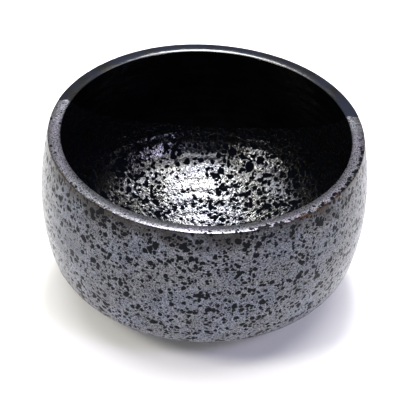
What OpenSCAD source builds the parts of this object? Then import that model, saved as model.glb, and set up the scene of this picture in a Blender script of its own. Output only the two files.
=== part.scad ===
// Matcha bowl: a thrown stoneware tea bowl on a foot ring, with a silver-black glaze all over
// and a gloss black glaze on one side of the rim, where the bowl was dipped at a slant.
// Z is up and the bowl stands on Z = 0, centred on the Z axis. The black side is towards +Y.

/* [Bowl] */
// Diameter at the widest level
bowl_d = 120; // [110:1:130]
// Height from the floor to the crest of the lip
bowl_h = 68; // [66:1:74]
// Depth of the widest level below the crest of the lip
belly_drop = 26; // [24:1:28]
// How far the outer wall leans in between the widest level and the lip
lean_in = 2.8; // [2:0.1:4]

/* [Wall] */
// Wall thickness at the widest level, glaze included
wall_t = 5.4; // [4.9:0.1:6.5]
// Width of the lip's top
lip_w = 5.0; // [4:0.1:5.6]
// Radius of the lip's low crown
lip_crown_r = 12; // [8:1:20]
// How far the crest of the lip lies inside its outer arris
crest_in = 1.6; // [1:0.1:2.5]

/* [Lower body] */
// Radius of the outer wall's curve below the widest level
wall_arc_r = 88; // [80:1:96]
// Turn of that curve, in degrees
wall_arc_turn = 14; // [12:0.5:16]
// Outer radius of the hip, the tight bend into the underside
hip_r = 13; // [11:0.5:15]
// Slope of the underside, in degrees
under_slope = 14; // [12:0.5:16]

/* [Inside] */
// Height of the inner floor at its centre
floor_z = 11; // [10.5:0.5:13]
// Radius of the dished inner floor
dish_r = 110; // [100:1:130]
// Radius of the bend between the inner wall and the floor
inner_hip_r = 25; // [20:0.5:25]

/* [Foot] */
// Diameter of the foot ring where it joins the body
foot_d = 54; // [50:1:58]
// Width of the foot ring
foot_w = 5.4; // [4.5:0.1:6.5]
// Height of the foot ring, and depth of the hollow inside it
foot_h = 5.4; // [5:0.1:6]
// How much the foot ring tapers in towards the floor
foot_taper = 0.6; // [0.2:0.1:1]
// Chamfer on the foot ring's two lower edges
foot_chamfer = 0.6; // [0.3:0.1:1]

/* [Glaze] */
// Thickness of the glaze
glaze_t = 0.7; // [0.5:0.1:0.9]
// Width of bare clay between the foot ring and the edge of the outer glaze
bare_w = 3.5; // [2:0.5:6]
// How far behind the axis the edge of the black glaze crosses the lip
dip_y = 13.6; // [5:0.1:25]
// Tilt of the edge of the black glaze from the horizontal, in degrees
dip_tilt = 43.5; // [38:0.5:50]
// Turn of that edge about the upright axis, in degrees, because the bowl was held a little askew
dip_turn = -1.2; // [-5:0.1:5]

/* [Hidden] */
$fn = 180;

belly_r = bowl_d / 2;
belly_z = bowl_h - belly_drop;
lip_r = belly_r - lean_in;
foot_r = foot_d / 2;
crest_r = lip_r - crest_in;

// Radius of an arc that starts upright and moves sideways by "run" over a height "rise"
function lean_radius(rise, run) = (rise * rise + run * run) / (2 * run);

// Points along an arc about centre c, from angle a0 to angle a1
function arc(c, r, a0, a1, steps) =
    [for (i = [0:steps]) let (a = a0 + (a1 - a0) * i / steps) [c.x + r * cos(a), c.y + r * sin(a)]];

// Direction from p to q, in degrees
function heading(p, q) = atan2(q.y - p.y, q.x - p.x);

// Where two circles cross, on the right of the line from centre a to centre b (side = -1),
// or on its left (side = 1)
function cross_at(a, ra, b, rb, side) =
    let (d = norm(b - a), u = (b - a) / d, along = (ra * ra - rb * rb + d * d) / (2 * d),
         off = sqrt(ra * ra - along * along))
    a + u * along + [-u.y, u.x] * off * side;

// Centres of the outer arcs. Each arc's radius shrinks by the depth below the glazed surface.
upper_arc_r = lean_radius(belly_drop, lean_in);
upper_c = [belly_r - upper_arc_r, belly_z];
wall_c = [belly_r - wall_arc_r, belly_z];
hip_c = wall_c + (wall_arc_r - hip_r) * [cos(wall_arc_turn), -sin(wall_arc_turn)];
crown_c = [crest_r, bowl_h - lip_crown_r];

// Centres of the inner arcs. Each arc's radius grows by the depth below the glazed surface.
inner_belly_r = belly_r - wall_t;
inner_arc_r = lean_radius(belly_drop, inner_belly_r - (lip_r - lip_w));
inner_c = [inner_belly_r - inner_arc_r, belly_z];
inner_wall_r = wall_arc_r - wall_t;
dish_c = [0, floor_z + dish_r];
inner_hip_c = cross_at(dish_c, dish_r - inner_hip_r, wall_c, inner_wall_r - inner_hip_r, 1);

// Outer and inner corner of the lip at a depth t below the glazed surface
function outer_arris(t) = cross_at(upper_c, upper_arc_r - t, crown_c, lip_crown_r - t, 1);
function inner_arris(t) = cross_at(inner_c, inner_arc_r + t, crown_c, lip_crown_r - t, 1);

// Outline from the underside up to the lip, over the lip, and down inside to the floor's centre
function outer_line(t, r_start) =
    let (a_hip = -90 + under_slope,
         hip_end = hip_c + (hip_r - t) * [cos(a_hip), sin(a_hip)],
         start = [r_start, hip_end.y - (hip_end.x - r_start) * tan(under_slope)])
    concat([start],
           arc(hip_c, hip_r - t, a_hip, -wall_arc_turn, 10),
           arc(wall_c, wall_arc_r - t, -wall_arc_turn * 4 / 5, 0, 4),
           arc(upper_c, upper_arc_r - t, heading(upper_c, outer_arris(t)) / 6,
               heading(upper_c, outer_arris(t)), 5));
function lip_line(t) =
    arc(crown_c, lip_crown_r - t, heading(crown_c, outer_arris(t)),
        heading(crown_c, inner_arris(t)), 6);
function inner_line(t) =
    let (a_lip = heading(inner_c, inner_arris(t)),
         a_wall = heading(wall_c, inner_hip_c), a_dish = heading(dish_c, inner_hip_c))
    concat(arc(inner_c, inner_arc_r + t, a_lip, 0, 6),
           arc(inner_hip_c, inner_hip_r + t, a_wall, a_dish, 10),
           arc(dish_c, dish_r + t, a_dish + (-90 - a_dish) / 6, -90, 5));

// A coat is the space between the glazed line and the clay line
module coat(glazed, clay) {
    rotate_extrude()
        polygon(concat(glazed, [for (i = [len(clay) - 1:-1:0]) clay[i]]));
}
module outside_coat() {
    glaze_edge_r = foot_r + bare_w;
    coat(outer_line(0, glaze_edge_r), outer_line(glaze_t, glaze_edge_r));
}
module lip_coat() {
    coat(lip_line(0), lip_line(glaze_t));
}
module inside_coat() {
    coat(inner_line(0), inner_line(glaze_t));
}

// All that was under the surface of the black glaze when the bowl was dipped
module dipped() {
    bath = 3 * bowl_d;
    rotate([0, 0, dip_turn])
        translate([0, dip_y, bowl_h])
            rotate([-dip_tilt, 0, 0])
                translate([-bath / 2, -bath / 2, 0])
                    cube([bath, bath, bath]);
}

module clay_body() {
    color([0.30, 0.17, 0.10])
    rotate_extrude()
        polygon(concat([[0, foot_h], [foot_r, foot_h]],
                       outer_line(glaze_t, foot_r),
                       lip_line(glaze_t),
                       inner_line(glaze_t)));
}
module foot_ring() {
    floor_r = foot_r - foot_taper;
    inner_r = foot_r - foot_w;
    color([0.34, 0.20, 0.12])
    rotate_extrude()
        polygon([[foot_r, foot_h],
                 [floor_r, foot_chamfer], [floor_r - foot_chamfer, 0],
                 [inner_r + foot_chamfer, 0], [inner_r, foot_chamfer],
                 [inner_r - foot_taper, foot_h]]);
}
module silver_glaze_outside() {
    color([0.48, 0.48, 0.52]) difference() { outside_coat(); dipped(); }
}
module silver_glaze_lip() {
    color([0.50, 0.48, 0.52]) difference() { lip_coat(); dipped(); }
}
module silver_glaze_inside() {
    color([0.40, 0.40, 0.44]) difference() { inside_coat(); dipped(); }
}
module black_glaze_outside() {
    color([0.05, 0.06, 0.09]) intersection() { outside_coat(); dipped(); }
}
module black_glaze_lip() {
    color([0.12, 0.13, 0.18]) intersection() { lip_coat(); dipped(); }
}
module black_glaze_inside() {
    color([0.02, 0.02, 0.03]) intersection() { inside_coat(); dipped(); }
}

clay_body();
foot_ring();
silver_glaze_outside();
silver_glaze_lip();
silver_glaze_inside();
black_glaze_outside();
black_glaze_lip();
black_glaze_inside();
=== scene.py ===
"""A matcha bowl: lathed stoneware with a silver-black glaze, dipped at a slant in gloss black.

The shapes repeat the bowl's own outline, in metres, with rounded arrises, throwing rings and
soft glaze edges. Every colour and relief is worked out from the place on the bowl.
"""
import math

import bmesh
import bpy
import numpy as np
from mathutils import Matrix, Vector


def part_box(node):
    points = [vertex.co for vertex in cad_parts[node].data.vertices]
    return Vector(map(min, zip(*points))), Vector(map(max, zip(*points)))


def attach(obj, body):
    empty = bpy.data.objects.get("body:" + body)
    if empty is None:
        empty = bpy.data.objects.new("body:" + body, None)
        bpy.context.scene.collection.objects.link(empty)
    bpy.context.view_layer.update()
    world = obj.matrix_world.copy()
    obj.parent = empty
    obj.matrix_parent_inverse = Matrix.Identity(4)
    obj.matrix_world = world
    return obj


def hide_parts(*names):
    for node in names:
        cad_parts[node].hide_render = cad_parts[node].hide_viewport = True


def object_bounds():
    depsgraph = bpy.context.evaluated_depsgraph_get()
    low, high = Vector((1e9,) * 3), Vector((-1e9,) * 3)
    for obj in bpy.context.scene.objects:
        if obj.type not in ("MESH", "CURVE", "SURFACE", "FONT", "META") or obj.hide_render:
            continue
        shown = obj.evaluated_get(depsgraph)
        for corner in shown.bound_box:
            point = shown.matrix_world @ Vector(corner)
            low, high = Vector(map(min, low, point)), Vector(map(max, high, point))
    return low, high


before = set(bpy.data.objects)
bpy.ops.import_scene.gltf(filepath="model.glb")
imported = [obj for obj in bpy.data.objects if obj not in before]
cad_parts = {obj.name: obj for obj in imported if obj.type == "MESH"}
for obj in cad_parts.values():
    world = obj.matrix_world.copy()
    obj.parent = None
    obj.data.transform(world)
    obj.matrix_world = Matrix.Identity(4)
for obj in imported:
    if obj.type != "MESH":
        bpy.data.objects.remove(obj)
cad_low, cad_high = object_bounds()

# ---------------------------------------------------------------- sizes, in metres and degrees
MM = 0.001
BOWL_H = cad_high.z
BELLY_R = cad_high.x
FOOT_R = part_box("foot_ring")[1].x
FOOT_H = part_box("foot_ring")[1].z

# The same driving dimensions as the bowl's own drawing
BELLY_DROP = 26 * MM
LEAN_IN = 2.8 * MM
WALL_T = 5.4 * MM
LIP_W = 5.0 * MM
CROWN_R = 12 * MM
CREST_IN = 1.6 * MM
WALL_ARC_R = 88 * MM
WALL_ARC_TURN = 14
HIP_R = 13 * MM
UNDER_SLOPE = 14
FLOOR_Z = 11 * MM
DISH_R = 110 * MM
INNER_HIP_R = 25 * MM
FOOT_W = 5.4 * MM
FOOT_TAPER = 0.6 * MM
GLAZE_T = 0.7 * MM
BARE_W = 3.5 * MM
DIP_Y = 13.6 * MM
DIP_TILT = 43.5
DIP_TURN = -1.2

BELLY_Z = BOWL_H - BELLY_DROP
LIP_R = BELLY_R - LEAN_IN
CREST_R = LIP_R - CREST_IN

# How far the glazed surface stays under its drawn outline, which leaves room for the relief
HOLD_IN = 0.16 * MM
ARRIS_SOFTNESS = 0.25 * MM
# The rounded edge of the outer glaze above the foot, and of the black glaze at the dip
BEAD_W = 1.6 * MM
BLACK_EDGE_W = 0.9 * MM
BLACK_PROUD = 0.10 * MM
# The ridges that the fingers leave, outside and inside
RING_PITCH = 6.5 * MM
RING_DEPTH = 0.055 * MM
INNER_RING_PITCH = 0.6 * RING_PITCH
INNER_RING_DEPTH = 0.06 * MM

# How finely the meshes are divided round the bowl and along its section
COLUMNS = 540
CLAY_COLUMNS = 320
SILVER_ROWS = 150
BLACK_ROWS = 90
CLAY_ROWS = 60
LIP_ROWS = 44
BACK_ROWS = 24
# The spacing of the points of the outline, and the number of places tried along it for the dip
STEP = 0.05 * MM
DIP_TRIES = 1500
# Edges that turn more than this many degrees are shaded as sharp
SHARP_ANGLE = 38
# Points closer than the first are one point, and an edge shorter than the second is nothing
SAME_POINT = 0.001 * MM
NO_LENGTH = 0.0005 * MM


# ---------------------------------------------------------------- the outline
def arc(centre, radius, start, end):
    """Points about STEP apart along an arc, angles in degrees."""
    count = max(2, int(abs(math.radians(end - start)) * radius / STEP))
    a = np.radians(np.linspace(start, end, count))
    return np.stack([centre[0] + radius * np.cos(a), centre[1] + radius * np.sin(a)], 1)


def heading(p, q):
    """Direction from p to q, in degrees."""
    return math.degrees(math.atan2(q[1] - p[1], q[0] - p[0]))


def cross_at(a, ra, b, rb):
    """Where two circles cross, on the left of the line from centre a to centre b."""
    a, b = np.array(a), np.array(b)
    d = np.linalg.norm(b - a)
    u = (b - a) / d
    along = (ra * ra - rb * rb + d * d) / (2 * d)
    return a + u * along + np.array([-u[1], u[0]]) * math.sqrt(ra * ra - along * along)


def lean_radius(rise, run):
    """Radius of an arc that starts upright and moves sideways by run over a height rise."""
    return (rise * rise + run * run) / (2 * run)


class Outline:
    """The bowl's section at a depth under the glazed surface, in three stretches."""

    def __init__(self, depth):
        upper_r = lean_radius(BELLY_DROP, LEAN_IN)
        upper_c = (BELLY_R - upper_r, BELLY_Z)
        wall_c = (BELLY_R - WALL_ARC_R, BELLY_Z)
        turn = math.radians(WALL_ARC_TURN)
        hip_c = (wall_c[0] + (WALL_ARC_R - HIP_R) * math.cos(turn),
                 wall_c[1] - (WALL_ARC_R - HIP_R) * math.sin(turn))
        crown_c = (CREST_R, BOWL_H - CROWN_R)
        inner_belly_r = BELLY_R - WALL_T
        inner_r = lean_radius(BELLY_DROP, inner_belly_r - (LIP_R - LIP_W))
        inner_c = (inner_belly_r - inner_r, BELLY_Z)
        dish_c = (0.0, FLOOR_Z + DISH_R)
        inner_hip_c = cross_at(dish_c, DISH_R - INNER_HIP_R,
                               wall_c, WALL_ARC_R - WALL_T - INNER_HIP_R)
        outer_arris = cross_at(upper_c, upper_r - depth, crown_c, CROWN_R - depth)
        inner_arris = cross_at(inner_c, inner_r + depth, crown_c, CROWN_R - depth)

        under = arc(hip_c, HIP_R - depth, UNDER_SLOPE - 90, -WALL_ARC_TURN)
        start_r = FOOT_R + BARE_W
        run = under[0][0] - start_r
        start = np.array([start_r, under[0][1] - run * math.tan(math.radians(UNDER_SLOPE))])
        steps = np.linspace(0, 1, int(run / STEP))[:-1, None]
        outside = np.concatenate([
            start + (under[0] - start) * steps, under,
            arc(wall_c, WALL_ARC_R - depth, -WALL_ARC_TURN, 0)[1:],
            arc(upper_c, upper_r - depth, 0, heading(upper_c, outer_arris))[1:]])
        lip = arc(crown_c, CROWN_R - depth, heading(crown_c, outer_arris),
                  heading(crown_c, inner_arris))
        a_dish = heading(dish_c, inner_hip_c)
        inside = np.concatenate([
            arc(inner_c, inner_r + depth, heading(inner_c, inner_arris), 0),
            arc(inner_hip_c, INNER_HIP_R + depth, heading(wall_c, inner_hip_c), a_dish)[1:],
            arc(dish_c, DISH_R + depth, a_dish, -90)[1:]])
        soft = self.soften(np.concatenate([outside, lip[1:], inside[1:]]))
        first, second = len(outside), len(outside) + len(lip) - 1
        self.stretches = {"outside": soft[:first], "lip": soft[first - 1:second],
                          "inside": soft[second - 1:]}

    @staticmethod
    def soften(points):
        """Rounds the arrises by a moving average weighted like a bell."""
        reach = int(4 * ARRIS_SOFTNESS / STEP)
        weights = np.exp(-0.5 * (np.arange(-reach, reach + 1) * STEP / ARRIS_SOFTNESS) ** 2)
        weights /= weights.sum()
        before = 2 * points[0] - points[reach:0:-1]
        after = points[-2:-2 - reach:-1] * [-1, 1]
        padded = np.concatenate([before, points, after])
        return np.stack([np.convolve(padded[:, k], weights, "valid") for k in (0, 1)], 1)

    def at(self, stretch, u):
        """Radius, height, and the outward direction in the section, at shares u of a stretch."""
        pts = self.stretches[stretch]
        places = np.linspace(0, 1, len(pts))
        tangent = np.gradient(pts, axis=0)
        tangent /= np.linalg.norm(tangent, axis=1, keepdims=True)
        r, z = (np.interp(u, places, pts[:, k]) for k in (0, 1))
        nr, nz = np.interp(u, places, tangent[:, 1]), np.interp(u, places, -tangent[:, 0])
        return r, z, nr, nz


GLAZED, CLAY = Outline(HOLD_IN), Outline(GLAZE_T)


# ---------------------------------------------------------------- the dip and the maker's hand
def waves(angle, parts):
    """A closed wave round the bowl: the sum of (turns, height, phase in degrees)."""
    return sum(h * np.sin(n * angle + math.radians(p)) for n, h, p in parts)


# How the edge of the black glaze wanders, how the wall is out of round, and how the lip rises
DIP_WANDER = [(3, 0.22 * MM, 40), (7, 0.12 * MM, 200), (13, 0.07 * MM, 95), (29, 0.04 * MM, 10)]
OVAL = [(1, 0.10 * MM, 235), (2, 0.10 * MM, 200), (3, 0.03 * MM, 110), (5, 0.02 * MM, 250)]
LIP_RISE = [(2, 0.12 * MM, 120), (3, 0.09 * MM, 20), (7, 0.03 * MM, 75)]


def over_dip(angle, r, z):
    """How far a place is above the slanted edge of the black glaze."""
    tilt, turn = math.radians(DIP_TILT), math.radians(DIP_TURN)
    flat = (r * np.sin(angle - turn) - DIP_Y) * math.sin(tilt) + (z - BOWL_H) * math.cos(tilt)
    return flat + waves(angle, DIP_WANDER)


def cut_share(stretch, angle):
    """The share of a stretch at which it passes the edge of the black glaze, for each angle."""
    u = np.linspace(0, 1, DIP_TRIES)
    r, z, _, _ = GLAZED.at(stretch, u)
    above = over_dip(angle[:, None], r[None], z[None]) > 0
    if stretch == "inside":
        above = ~above
    first = np.argmax(above, axis=1)
    return np.where(above.any(axis=1), u[first], 1.0) if stretch == "outside" else u[first]


def rim_angle(stretch, u, side):
    """The angle at which a place on the lip passes the edge of the black glaze.

    side is 1 on the right, and -1 on the left.
    """
    lowest, highest, halvings = -0.3, 1.2, 40
    r, z, _, _ = GLAZED.at(stretch, np.atleast_1d(u))
    low, high = np.full(len(r), lowest), np.full(len(r), highest)
    for _ in range(halvings):
        mid = (low + high) / 2
        angle = mid if side > 0 else math.pi - mid
        above = over_dip(angle, r, z) > 0
        low, high = np.where(above, low, mid), np.where(above, mid, high)
    return low if side > 0 else math.pi - low


def by_hand(p):
    """Moves points a little, as a thrown bowl is never quite round or level."""
    r = np.hypot(p[..., 0], p[..., 1])
    angle = np.arctan2(p[..., 1], p[..., 0])
    z = p[..., 2]
    high = np.clip(z / BOWL_H, 0, 1)
    low_room = sum(h for _, h, _ in OVAL)
    up_room = sum(h for _, h, _ in LIP_RISE)
    out = (waves(angle, OVAL) - low_room) * high * np.clip(r / LIP_R, 0, 1)
    up = (waves(angle, LIP_RISE) - up_room) * high ** 3
    scale = 1 + out / np.maximum(r, MM)
    return np.stack([p[..., 0] * scale, p[..., 1] * scale, z + up], -1)


def throwing_rings(angle, r, z, stretch):
    """Shallow spiral ridges that the fingers leave, fading out at the lip and the foot."""
    if stretch == "lip":
        return 0 * r * angle
    if stretch == "inside":
        along = np.hypot(BELLY_R - r, BOWL_H - z)
        fade = np.clip((BOWL_H - z) / (6 * MM), 0, 1) * np.clip(r / (8 * MM), 0, 1)
        return INNER_RING_DEPTH * fade * np.sin(2 * math.pi * along / INNER_RING_PITCH - angle)
    fade = np.clip((BOWL_H - z) / (8 * MM), 0, 1) * np.clip((z - 10 * MM) / (10 * MM), 0, 1)
    return RING_DEPTH * fade * np.sin(2 * math.pi * z / RING_PITCH + angle)


# ---------------------------------------------------------------- meshes
def graded(count, pull=2.0):
    """Shares from 0 to 1, close together at both ends."""
    t = np.linspace(-1, 1, count)
    return 0.5 * (1 + np.tanh(pull * t) / math.tanh(pull))


def place(angle, r, z):
    """Points at an angle about the axis, a radius and a height."""
    return np.stack([r * np.cos(angle), r * np.sin(angle), z + 0 * angle], -1)


def mesh_piece(node, material, verts, faces):
    """Makes the piece that stands for a CAD node, under the node's own name."""
    me = bpy.data.meshes.new(node)
    me.from_pydata([tuple(v) for v in verts], [], faces)
    ob = bpy.data.objects.new(node, me)
    bpy.context.scene.collection.objects.link(ob)
    tidy_mesh(me)
    me.polygons.foreach_set("use_smooth", [True] * len(me.polygons))
    me.set_sharp_from_angle(angle=math.radians(SHARP_ANGLE))
    me.materials.append(material)
    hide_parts(node)
    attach(ob, "root")


def tidy_mesh(me):
    """Joins points that coincide, drops faces with no area, and turns all faces outward."""
    bm = bmesh.new()
    bm.from_mesh(me)
    bmesh.ops.remove_doubles(bm, verts=bm.verts, dist=SAME_POINT)
    bmesh.ops.dissolve_degenerate(bm, edges=bm.edges, dist=NO_LENGTH)
    bmesh.ops.recalc_face_normals(bm, faces=bm.faces)
    bm.to_mesh(me)
    bm.free()


def quads(first, rows, cols, closed, flip):
    """Faces of a grid of points that starts at index first, stored column by column."""
    faces = []
    for c in range(cols if closed else cols - 1):
        d = (c + 1) % cols
        for k in range(rows - 1):
            quad = (first + c * rows + k, first + d * rows + k,
                    first + d * rows + k + 1, first + c * rows + k + 1)
            faces.append(quad[::-1] if flip else quad)
    return faces


def shell(node, material, front, back, closed, caps=False):
    """Makes a closed skin between a front and a back grid, indexed [column, row, xyz]."""
    cols, rows, _ = front.shape
    back_rows = back.shape[1]
    offset = cols * rows
    faces = quads(0, rows, cols, closed, False) + quads(offset, back_rows, cols, closed, True)
    for c in range(cols if closed else cols - 1):
        d = (c + 1) % cols
        for k, j in ((0, 0), (rows - 1, back_rows - 1)):
            faces.append((c * rows + k, offset + c * back_rows + j,
                          offset + d * back_rows + j, d * rows + k))
    if caps:
        for c in (0, cols - 1):
            for k in range(rows - 1):
                faces.append((c * rows + k, c * rows + k + 1,
                              offset + c * rows + k + 1, offset + c * rows + k))
    verts = by_hand(np.concatenate([front.reshape(-1, 3), back.reshape(-1, 3)]))
    mesh_piece(node, material, verts, faces)


def rounded_edge(distance, width):
    """0 at an edge, rising like a quarter circle to 1 at the given width."""
    t = np.clip(distance / width, 0, 1)
    return np.sqrt(np.clip(1 - (1 - t) ** 2, 0, 1))


def surface(stretch, angle, u, black):
    """Glazed surface at an angle and a share of a stretch, as [column, row, xyz]."""
    r, z, nr, nz = GLAZED.at(stretch, u)
    lift = throwing_rings(angle, r, z, stretch)
    if black:
        edge = rounded_edge(over_dip(angle, r, z), BLACK_EDGE_W)
        uneven = 1 + 0.25 * np.sin(5 * angle + z / (4 * MM))
        lift = lift + BLACK_PROUD * edge * uneven
    if stretch == "outside" and not black:
        length = np.linalg.norm(np.diff(GLAZED.stretches[stretch], axis=0), axis=1).sum()
        lift = lift - (GLAZE_T - HOLD_IN) * (1 - rounded_edge(u * length, BEAD_W))
    return place(angle, r + lift * nr, z + lift * nz)


def clay_side(stretch, angle, u):
    """The side of a coat that lies on the clay, as [column, row, xyz]."""
    r, z, _, _ = CLAY.at(stretch, u)
    return place(angle, r, z)


def wall_coat(stretch, node, material, black):
    """A coat on the outer or the inner wall, on one side of the edge of the black glaze."""
    corner = 1.0 if stretch == "outside" else 0.0
    right = rim_angle(stretch, corner, 1)[0]
    left = rim_angle(stretch, corner, -1)[0]
    behind = np.linspace(right, left, int(COLUMNS * (left - right) / (2 * math.pi)))
    ahead = np.linspace(left, right + 2 * math.pi, COLUMNS - len(behind) + 2)
    angle = behind if black else np.concatenate([behind, ahead[1:-1]])
    cut = np.full(len(angle), corner)
    cut[:len(behind)] = cut_share(stretch, behind)
    cut[0] = cut[len(behind) - 1] = corner
    rows = graded(BLACK_ROWS if black else SILVER_ROWS)[None]
    back_rows = graded(BACK_ROWS)[None]
    low = 0.0 if (stretch == "outside") != black else cut[:, None]
    high = 1.0 if (stretch == "inside") != black else cut[:, None]
    columns = angle[:, None]
    front = surface(stretch, columns, low + (high - low) * rows, black)
    back = clay_side(stretch, columns, low + (high - low) * back_rows)
    shell(node, material, front, back, closed=not black)


def lip_coat(node, material, black):
    """A coat on the lip's top, on one side of the edge of the black glaze."""
    u = graded(LIP_ROWS, 1.6)
    right, left = rim_angle("lip", u, 1), rim_angle("lip", u, -1)
    start, end = (right, left) if black else (left, right + 2 * math.pi)
    count = int(COLUMNS * (end - start).mean() / (2 * math.pi))
    angle = start[None] + (end - start)[None] * np.linspace(0, 1, count)[:, None]
    rows = np.broadcast_to(u[None], angle.shape)
    front = surface("lip", angle, rows, black)
    back = clay_side("lip", angle, rows)
    shell(node, material, front, back, closed=False, caps=True)


def lathe(node, material, section, columns):
    """Makes a closed solid of revolution. Its section runs from axis to axis, or is a loop."""
    angle = np.linspace(0, 2 * math.pi, columns, endpoint=False)[:, None]
    r, z = section[:, 0][None], section[:, 1][None]
    grid = place(angle, r, z)
    rows = len(section)
    faces = quads(0, rows, columns, True, False)
    if section[0][0] > 0:
        for c in range(columns):
            d = (c + 1) % columns
            faces.append((c * rows + rows - 1, d * rows + rows - 1, d * rows, c * rows))
    mesh_piece(node, material, by_hand(grid.reshape(-1, 3)), faces)


def polyline(corners, spacing, softness=0.0):
    """Evenly spaced points along straight runs, with the corners rounded by averaging."""
    out = []
    for p, q in zip(corners, corners[1:]):
        p, q = np.array(p, float), np.array(q, float)
        count = max(1, int(np.linalg.norm(q - p) / spacing))
        out.extend(p + (q - p) * k / count for k in range(count))
    out.append(np.array(corners[-1], float))
    pts = np.array(out)
    for _ in range(int((softness / spacing) ** 2 * 2)):
        pts[1:-1] = pts[1:-1] + 0.25 * (pts[2:] - 2 * pts[1:-1] + pts[:-2])
    return pts


def trimmed(points, inner_r, outer_r, pitch, depth):
    """Presses fine turning grooves into the level parts of a section."""
    r = points[:, 0]
    inside = np.clip((r - inner_r) / pitch, 0, 1) * np.clip((outer_r - r) / pitch, 0, 1)
    points[:, 1] += depth * inside * (0.5 + 0.5 * np.cos(2 * math.pi * r / pitch))
    return points


def clay_body(material):
    """The thrown body under the glaze, bare on its underside and inside the foot ring."""
    under = CLAY.stretches["outside"][0]
    slope = math.tan(math.radians(UNDER_SLOPE))
    neck_z = under[1] - (under[0] - FOOT_R) * slope
    ceiling = trimmed(polyline([(0, FOOT_H), (FOOT_R - 0.2 * MM, FOOT_H)], 0.35 * MM),
                      2 * MM, FOOT_R - FOOT_W, 1.6 * MM, 0.14 * MM)
    bare = polyline([(FOOT_R, FOOT_H), (FOOT_R, neck_z), tuple(under)], 0.2 * MM, 0.35 * MM)
    u = graded(CLAY_ROWS)
    walls = [np.stack(CLAY.at(s, u)[:2], 1) for s in ("outside", "lip", "inside")]
    walls[2][-1, 0] = 0.0
    section = np.concatenate([ceiling, bare, walls[0][1:], walls[1][1:], walls[2][1:]])
    lathe("clay_body", material, section, CLAY_COLUMNS)


def foot_ring(material):
    """The turned ring that the bowl stands on, with fine tool marks on its sides."""
    floor_r = FOOT_R - FOOT_TAPER
    inner_r = FOOT_R - FOOT_W
    chamfer = 0.6 * MM
    corners = [(FOOT_R, FOOT_H), (floor_r, chamfer), (floor_r - chamfer, 0),
               (inner_r + chamfer, 0), (inner_r, chamfer), (inner_r - FOOT_TAPER, FOOT_H)]
    ring = polyline(corners, 0.12 * MM, 0.22 * MM)
    ring[:, 1] -= ring[:, 1].min()
    grooves = 0.05 * MM * np.sin(2 * math.pi * ring[:, 1] / (1.1 * MM))
    ring[:, 0] -= np.abs(grooves) * (ring[:, 1] > chamfer)
    lathe("foot_ring", material, ring[::-1], COLUMNS)


# ---------------------------------------------------------------- material helpers
class Nodes:
    """Short calls for building any tree of shader nodes."""

    def __init__(self, tree):
        self.tree = tree

    def node(self, kind, inputs=(), **props):
        made = self.tree.nodes.new("ShaderNode" + kind)
        for key, value in props.items():
            setattr(made, key, value)
        for key, value in dict(inputs).items():
            self.feed(made.inputs[key], value)
        return made

    def feed(self, socket, value):
        """Links a socket, or sets it where the value is the same all over."""
        if isinstance(value, bpy.types.NodeSocket):
            self.tree.links.new(value, socket)
        else:
            socket.default_value = value

    def calc(self, operation, a, b=0.0, c=0.0):
        return self.node("Math", {0: a, 1: b, 2: c}, operation=operation).outputs[0]

    def product(self, first, *others):
        for other in others:
            first = self.calc("MULTIPLY", first, other)
        return first

    def rest_of(self, share):
        return self.calc("SUBTRACT", 1.0, share)

    def step(self, value, low, high, to_low=0.0, to_high=1.0):
        """A smooth step from to_low to to_high as value goes from low to high."""
        made = self.node("MapRange", {"Value": value, "From Min": low, "From Max": high,
                                      "To Min": to_low, "To Max": to_high},
                         interpolation_type="SMOOTHSTEP")
        return made.outputs["Result"]


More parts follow.
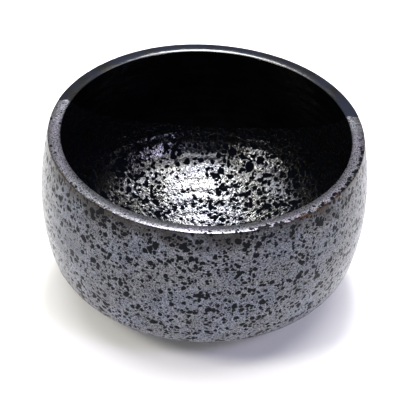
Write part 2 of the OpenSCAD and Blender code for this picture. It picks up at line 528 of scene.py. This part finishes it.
class Tree(Nodes):
    """Short calls for building a material's nodes."""

    def __init__(self, name):
        self.material = bpy.data.materials.new(name)
        self.material.use_nodes = True
        super().__init__(self.material.node_tree)
        self.shader = self.tree.nodes["Principled BSDF"]
        self.place = self.node("TexCoord").outputs["Object"]

    def mix(self, factor, a, b, blend="MIX"):
        """A colour that goes from a to b."""
        made = self.node("Mix", {0: factor, 6: a, 7: b}, data_type="RGBA", blend_type=blend)
        return made.outputs[2]

    def blend(self, factor, a, b):
        """A number that goes from a to b."""
        return self.node("Mix", {0: factor, 2: a, 3: b}, data_type="FLOAT").outputs[0]

    def times(self, colour, factor):
        """A colour made lighter or darker by a number."""
        shade = self.node("CombineColor", {0: factor, 1: factor, 2: factor}).outputs[0]
        return self.mix(1.0, colour, shade, "MULTIPLY")

    def noise(self, size, detail=2.0, rough=0.5, where=None, out="Fac"):
        made = self.node("TexNoise", {"Vector": where or self.place, "Scale": 1 / size,
                                      "Detail": detail, "Roughness": rough})
        return made.outputs[out]

    def shifted(self, size, reach, where, detail):
        """The place moved about by a noise, so that what is drawn there has ragged edges."""
        drift = self.noise(size, detail, where=where, out="Color")
        away = self.node("VectorMath", {0: drift, 1: (0.5, 0.5, 0.5)}, operation="SUBTRACT")
        scaled = self.node("VectorMath", {0: away.outputs[0], "Scale": 2 * reach},
                           operation="SCALE")
        return self.moved(scaled.outputs[0], where)

    def stretched(self, factors):
        return self.node("VectorMath", {0: self.place, 1: factors},
                         operation="MULTIPLY").outputs[0]

    def moved(self, offset, where):
        return self.node("VectorMath", {0: where, 1: offset}, operation="ADD").outputs[0]

    def blobs(self, where, cell, low, high, soft, more=0.0):
        """Round spots, one to a cell. Their radii, as shares of the cell, are spread evenly
        from low to high, and more is added to each. A cell whose radius is negative has none.
        """
        cells = self.node("TexVoronoi", {"Vector": where, "Scale": 1 / cell, "Randomness": 1.0})
        pick = self.node("SeparateColor", {0: cells.outputs["Color"]}).outputs[0]
        radius = self.calc("ADD", self.calc("MULTIPLY_ADD", pick, high - low, low), more)
        over = self.calc("SUBTRACT", radius, cells.outputs["Distance"])
        return self.step(over, -soft / cell, soft / cell)

    def polar(self):
        """Distance to the right, distance to the back, distance from the axis, and height."""
        x, y, z = self.node("SeparateXYZ", {0: self.place}).outputs
        square = self.calc("ADD", self.product(x, x), self.product(y, y))
        return x, y, self.calc("SQRT", square), z

    def bump(self, height, distance, under=None):
        """A relief on top of the relief under it. Distances are in metres."""
        inputs = {"Height": height, "Distance": distance, "Strength": 1.0}
        if under is not None:
            inputs["Normal"] = under
        return self.node("Bump", inputs).outputs[0]

    def finish(self, **sockets):
        names = {"base": "Base Color", "rough": "Roughness", "metal": "Metallic",
                 "normal": "Normal", "specular": "Specular IOR Level"}
        for key, value in sockets.items():
            self.feed(self.shader.inputs[names[key]], value)
        return self.material


def grey(level, tint=(1.0, 1.0, 1.0)):
    return (level * tint[0], level * tint[1], level * tint[2], 1.0)


# Tints of the silver glaze outside, on the lip and inside, and the tint that it drifts to
LAVENDER = (0.90, 0.95, 1.17)
MAUVE = (0.99, 0.94, 1.15)
NEUTRAL = (1.0, 1.0, 0.98)
DRIFT_TINT = (0.95, 0.965, 1.09)
# The tint of the black glaze outside and on the lip, and inside
BLUE_BLACK = (0.8, 0.95, 1.5)
INNER_BLACK = (0.9, 1.0, 1.25)
# Colours of the worn lip on the right and on the left, of thin glaze darkened by painted shade
# under the lip, and of the black spots, whose colour also paints shade on the inner wall
RUST = (0.036, 0.016, 0.007, 1.0)
OLIVE = (0.03, 0.023, 0.012, 1.0)
THIN_GLAZE_AND_SHADE = (0.022, 0.019, 0.018, 1.0)
SPOT = (0.002, 0.0025, 0.004, 1.0)

SILVER_METAL = 0.96
SPOT_ROUGH = 0.30
# How much the crowding of the spots wanders, and how it changes inside a painted highlight, where
# the spots are thinned out
PATCHINESS = 0.06
PAINTED_HIGHLIGHT_CROWDING = -0.28
# Shifts, so that the patterns of the kinds of spot don't line up
MIDDLING_SHIFT = (31 * MM, 11 * MM, 7 * MM)
SMALL_SHIFT = (13 * MM, 27 * MM, 19 * MM)
DOT_SHIFT = (7 * MM, 3 * MM, 41 * MM)


# ---------------------------------------------------------------- materials
def spots(tree, size, crowd):
    """Where the black spots of the silver glaze lie: ragged islands, spots, and dots between.

    size scales them all, and crowd makes them larger, as a share of their spacing.
    """
    flat = tree.stretched((1.0, 1.0, 1.08))
    ragged = tree.shifted(0.9 * size, 0.26 * size, flat, 3.0)
    drift = tree.shifted(2.6 * size, 0.8 * size, ragged, 1.0)
    islands = tree.blobs(drift, 3.1 * size, -0.60, 0.42, 0.10 * size, crowd)
    middling = tree.blobs(tree.moved(MIDDLING_SHIFT, drift),
                          2.0 * size, -0.02, 0.51, 0.08 * size, crowd)
    small = tree.blobs(tree.moved(SMALL_SHIFT, ragged), 1.3 * size, -0.20, 0.44, 0.06 * size, crowd)
    dots = tree.blobs(tree.moved(DOT_SHIFT, ragged), 0.8 * size, -0.75, 0.34, 0.05 * size)
    return tree.calc("MAXIMUM", tree.calc("MAXIMUM", islands, middling),
                     tree.calc("MAXIMUM", small, dots))


class Silver(Tree):
    """The layers of the satin silver-black glaze."""

    def __init__(self, name):
        super().__init__(name)
        self.x, self.y, self.r, self.z = self.polar()
        self.aside = self.calc("ABSOLUTE", self.x)
        self.grain = self.noise(0.5 * MM, 2.0, 0.6)
        # A band below the lip, browned as thin glaze and darkened as painted shade of the dark band
        # under the lip.
        wave = self.step(self.noise(7 * MM), 0.3, 0.7, -2.5 * MM, 2.5 * MM)
        self.thin_glaze_and_shade_band = self.product(
            self.step(self.calc("ADD", self.z, wave), BOWL_H - 9 * MM, BOWL_H),
            self.step(self.r, LIP_R - WALL_T, LIP_R - 0.5 * MM))

    def crowding(self, crowd, sparse, thinning_and_shade, beads, painted_highlights):
        """How much larger the spots are than usual, as a share of their spacing."""
        total = self.calc("ADD", self.step(self.noise(9 * MM, 1.0), 0.3, 0.7,
                                           crowd - PATCHINESS, crowd + PATCHINESS),
                          self.step(self.aside, 30 * MM, 56 * MM, 0.0, -sparse))
        if thinning_and_shade:
            near_lip = self.step(self.z, BOWL_H - 4 * MM, BOWL_H - 1 * MM, 0.17, -0.08)
            total = self.calc("MULTIPLY_ADD", self.thin_glaze_and_shade_band, near_lip, total)
        if beads:
            rim = self.step(self.r, LIP_R - 2.6 * MM, LIP_R - 1.3 * MM, 0.0, beads)
            on_right = self.step(self.x, -10 * MM, 25 * MM, 0.4, 1.0)
            in_front = self.step(self.y, -16 * MM, 4 * MM, 1.0, 0.3)
            total = self.calc("ADD", total, self.product(rim, on_right, in_front))
        # Spots are thinned out where the light's reflection falls on the inner floor: painted
        # highlight.
        for x, y, z, radius in painted_highlights:
            away = self.node("VectorMath", {0: self.place, 1: (x, y, z)}, operation="DISTANCE")
            in_painted_highlight = self.step(away.outputs["Value"], 0.5 * radius, radius, 1.0, 0.0)
            total = self.calc("MULTIPLY_ADD", in_painted_highlight, PAINTED_HIGHLIGHT_CROWDING, total)
        return total

    def silvery(self, level, tint, grainy, thinning_and_shade, painted_wall_shade, pale):
        """The colour between the spots."""
        cloud = self.step(self.noise(9 * MM), 0.3, 0.7, 0.86, 1.12)
        lightness = self.calc("ADD", cloud, self.step(self.grain, 0.25, 0.75, -grainy, grainy))
        drift = self.step(self.noise(14 * MM, 1.0), 0.35, 0.65)
        base = self.times(self.mix(drift, grey(level, tint), grey(level, DRIFT_TINT)), lightness)
        # Near the lip the colour goes to a dark brownish grey: thin glaze, and painted shade for
        # the dark band under the lip.
        base = self.mix(self.product(self.thin_glaze_and_shade_band, thinning_and_shade), base, THIN_GLAZE_AND_SHADE)
        # Above the inner floor the colour is pulled towards the spots' black: painted shade on the
        # inner wall.
        if painted_wall_shade:
            high = self.step(self.z, FLOOR_Z + 8 * MM, FLOOR_Z + 17 * MM, 0.0, painted_wall_shade)
            base = self.mix(high, base, SPOT)
        # Lower down the outer wall the colour is made lighter: painted light towards the foot.
        if pale:
            base = self.times(base, self.step(self.z, 8 * MM, BELLY_Z, 1 + pale, 1.0))
        return base

    def worn(self, rust, spot):
        """Where the glaze has run off the lip's outer arris, between the spots."""
        edge = self.step(self.r, LIP_R - 1.4 * MM, LIP_R - 0.5 * MM)
        near_top = self.step(self.z, BOWL_H - 1.7 * MM, BOWL_H - 0.5 * MM)
        broken = self.step(self.noise(2.2 * MM, 3.0, 0.65), 0.42, 0.56)
        sides = self.step(self.aside, 12 * MM, 34 * MM)
        return self.product(edge, near_top, broken, sides, rust, self.rest_of(spot))

    def relief(self, spot, crinkle):
        """Sunken spots and fine grain on low lumps."""
        height = self.calc("ADD", self.product(spot, -0.5), self.product(self.grain, 0.35))
        fine = self.bump(height, 0.045 * MM * math.sqrt(crinkle))
        return self.bump(self.noise(1.5 * MM), 0.10 * MM * crinkle, fine)


def silver(name, crowd, size, level, tint, crinkle=1.0, rough=0.28, specular=0.05,
           grainy=1.0, sparse=0.0, thinning_and_shade=0.0, rust=0.0, beads=0.0, painted_wall_shade=0.0, pale=0.0,
           painted_highlights=()):
    """The satin silver-black glaze.

    sparse thins its spots out at the far left and right. thinning_and_shade browns and darkens it
    near the lip, as thin glaze and as painted shade of the dark band under the lip; rust shows at
    the outer arris, and beads crowds the spots there on the right. painted_wall_shade paints shade
    on the inner wall above the floor, and pale lightens it towards the foot as painted light.
    The spots are small and few in its painted_highlights, painted highlights on the inner floor,
    which are (x, y, z, radius) in metres.
    """
    tree = Silver(name)
    spot = spots(tree, size, tree.crowding(crowd, sparse, thinning_and_shade, beads, painted_highlights))
    base = tree.mix(spot, tree.silvery(level, tint, grainy, thinning_and_shade, painted_wall_shade, pale), SPOT)
    metal = tree.blend(spot, SILVER_METAL, 0.0)
    if rust:
        worn = tree.worn(rust, spot)
        tone = tree.mix(tree.step(tree.x, -10 * MM, 10 * MM), OLIVE, RUST)
        base = tree.mix(worn, base, tone)
        metal = tree.product(metal, tree.rest_of(worn))
    gloss = tree.calc("ADD", tree.blend(spot, rough, SPOT_ROUGH),
                      tree.step(tree.grain, 0.2, 0.8, -0.04, 0.06))
    return tree.finish(base=base, rough=gloss, metal=metal, specular=specular,
                       normal=tree.relief(spot, crinkle))


def black(name, level, tint, rough, specular=0.5):
    """The gloss black glaze."""
    tree = Tree(name)
    cloud = tree.step(tree.noise(7 * MM, 3.0), 0.35, 0.7)
    base = tree.mix(cloud, grey(level, tint), grey(level * 0.55))
    ripple = tree.noise(4.5 * MM, 1.0)
    peel = tree.noise(0.8 * MM, 1.0)
    pin = tree.blobs(tree.place, 5.0 * MM, -0.10, 0.033, 0.05 * MM)
    normal = tree.bump(ripple, 0.06 * MM, tree.bump(peel, 0.006 * MM))
    gloss = tree.calc("ADD", tree.step(cloud, 0, 1, rough, rough + 0.05),
                      tree.product(pin, 0.3))
    return tree.finish(base=base, rough=gloss, normal=normal, metal=0.0, specular=specular)


def clay(name, level):
    """Bare iron-bearing stoneware."""
    tree = Tree(name)
    body = tree.noise(1.1 * MM, 4.0, 0.65)
    patch = tree.step(tree.noise(12 * MM, 2.0), 0.35, 0.65)
    base = tree.mix(patch, grey(level, (1.5, 0.86, 0.56)), grey(level, (1.15, 0.72, 0.52)))
    light = tree.step(body, 0.3, 0.75)
    base = tree.mix(light, base, grey(level, (2.1, 1.3, 0.85)))
    grit = tree.blobs(tree.place, 1.4 * MM, -0.30, 0.16, 0.05 * MM)
    base = tree.mix(grit, base, grey(0.02, (1.2, 1.0, 0.9)))
    fine = tree.noise(0.25 * MM, 3.0, 0.7)
    normal = tree.bump(body, 0.12 * MM, tree.bump(fine, 0.05 * MM))
    return tree.finish(base=base, rough=tree.step(body, 0.2, 0.8, 0.74, 0.92), normal=normal)


# ---------------------------------------------------------------- the pieces
# Painted highlights: where the light's reflection gathers on the inner floor, the spots are made
# small and few
PAINTED_HIGHLIGHTS = ((-6 * MM, 34 * MM, FLOOR_Z + 6 * MM, 13 * MM),
         (-6 * MM, 17 * MM, FLOOR_Z + 1.3 * MM, 8 * MM))

clay_body(clay("fired_clay", 0.10))
foot_ring(clay("foot_clay", 0.12))
# The outer silver has painted shade under the lip and painted light towards the foot.
wall_coat("outside", "silver_glaze_outside",
          silver("silver_outside", 0.03, 1.0 * MM, 0.085, LAVENDER, grainy=0.9, sparse=0.03,
                 thinning_and_shade=0.85, rust=1.0, pale=1.3), black=False)
# The inner silver has painted shade on the wall above the floor and painted highlights on the
# floor.
wall_coat("inside", "silver_glaze_inside",
          silver("silver_inside", 0.15, 1.15 * MM, 0.10, NEUTRAL, crinkle=2.6, rough=0.18,
                 specular=0.0, grainy=0.8, painted_wall_shade=0.72, painted_highlights=PAINTED_HIGHLIGHTS), black=False)
wall_coat("outside", "black_glaze_outside",
          black("black_outside", 0.012, BLUE_BLACK, 0.10), black=True)
# The inner black glaze has a darker colour than the outer black: painted shade inside the bowl.
wall_coat("inside", "black_glaze_inside",
          black("black_inside", 0.002, INNER_BLACK, 0.08, specular=0.02), black=True)
# The lip's silver is darkened a little towards the same colour: thin glaze and painted shade.
lip_coat("silver_glaze_lip",
         silver("silver_lip", -0.20, 0.9 * MM, 0.2, MAUVE, crinkle=0.6,
                grainy=0.35, thinning_and_shade=0.2, rust=1.0, beads=0.50), black=False)
lip_coat("black_glaze_lip", black("black_lip", 0.016, BLUE_BLACK, 0.12), black=True)


# ---------------------------------------------------------------- the table, the light, the camera
TABLE_HALF = 1.0
LIGHT_DISTANCE = 0.9

WHITE = (1.0, 1.0, 1.0)
WARM = (1.0, 0.96, 0.86)
VIOLET = (0.76, 0.73, 1.0)
# Each light's azimuth, elevation, half angles across and along, brightness and colour
LIGHTS = {
    "overhead": (180, 84, 35, 26, 4.1, WHITE),
    "bright_patch": (170, 76, 8, 8, 30, WHITE),
    "second_patch": (182, 59, 7, 5, 30, WHITE),
    "warm_side": (-56, 47, 8, 8, 26, WARM),
    "cool_side": (46, 45, 6.5, 6.5, 24, VIOLET),
    "low_right": (77, 18, 12, 12, 4.8, WHITE),
    "low_left": (-85, 18, 12, 12, 2.0, WHITE),
}


def table():
    """A plain pale table top."""
    half = TABLE_HALF
    me = bpy.data.meshes.new("table")
    me.from_pydata([(-half, -half, 0), (half, -half, 0), (half, half, 0), (-half, half, 0)],
                   [], [(0, 1, 2, 3)])
    ob = bpy.data.objects.new("table", me)
    bpy.context.scene.collection.objects.link(ob)
    tree = Tree("table_paint")
    tone = tree.step(tree.noise(60 * MM, 2.0), 0.3, 0.7)
    base = tree.mix(tone, grey(0.92), grey(0.94))
    me.materials.append(tree.finish(base=base, rough=0.75))


def toward(azimuth, elevation):
    """The direction from the bowl, with both angles in degrees."""
    a, e = math.radians(azimuth), math.radians(elevation)
    return Vector((math.sin(a) * math.cos(e), -math.cos(a) * math.cos(e), math.sin(e)))


def softbox(name, azimuth, elevation, across, along, brightness, colour):
    """A soft oval light, seen from the bowl under the half angles across and along.

    Azimuth 0 is on the camera's side, and azimuth 90 is on the right.
    """
    where = LIGHT_DISTANCE * toward(azimuth, elevation)
    data = bpy.data.lights.new(name, "AREA")
    data.shape = "ELLIPSE"
    data.size = 2 * LIGHT_DISTANCE * math.tan(math.radians(across))
    data.size_y = 2 * LIGHT_DISTANCE * math.tan(math.radians(along))
    data.energy = brightness * math.pi * math.pi * data.size * data.size_y / 4
    data.color = colour
    ob = bpy.data.objects.new(name, data)
    bpy.context.scene.collection.objects.link(ob)
    ob.location = where
    ob.rotation_mode = "QUATERNION"
    ob.rotation_quaternion = (-where).to_track_quat("-Z", "Y")


def surroundings(front, back, horizon):
    """A dark studio, a little brighter behind the bowl, with a pale wall low down all round."""
    world = bpy.data.worlds.new("studio")
    bpy.context.scene.world = world
    world.use_nodes = True
    nodes = Nodes(world.node_tree)
    _, back_share, up_share = nodes.node(
        "SeparateXYZ", {0: nodes.node("TexCoord").outputs["Generated"]}).outputs
    studio = nodes.step(back_share, -0.5, 0.5, front, back)
    background = world.node_tree.nodes["Background"]
    nodes.feed(background.inputs["Color"], grey(1.0))
    nodes.feed(background.inputs["Strength"], nodes.step(up_share, 0.10, 0.20, horizon, studio))


CAMERA_AIM = Vector((0.0017, -0.0032, 0.0348))
CAMERA_AZIMUTH = -0.2
CAMERA_ELEVATION = 39.1
CAMERA_DISTANCE = 0.6
CAMERA_ROLL = 2.6
LENS = 140.4
SENSOR = 36.0


def camera():
    """The camera at the viewing angle, aimed at about the middle of the bowl."""
    back = toward(CAMERA_AZIMUTH, CAMERA_ELEVATION)
    data = bpy.data.cameras.new("camera")
    data.lens = LENS
    data.sensor_width = SENSOR
    ob = bpy.data.objects.new("camera", data)
    bpy.context.scene.collection.objects.link(ob)
    ob.location = CAMERA_AIM + back * CAMERA_DISTANCE
    upright = (-back).to_track_quat("-Z", "Y")
    roll = Matrix.Rotation(math.radians(CAMERA_ROLL), 4, "Z").to_quaternion()
    ob.rotation_mode = "QUATERNION"
    ob.rotation_quaternion = upright @ roll
    bpy.context.scene.camera = ob


table()
surroundings(0.018, 0.043, 0.95)
for name, settings in LIGHTS.items():
    softbox(name, *settings)
camera()
bpy.context.scene.view_settings.view_transform = "Standard"
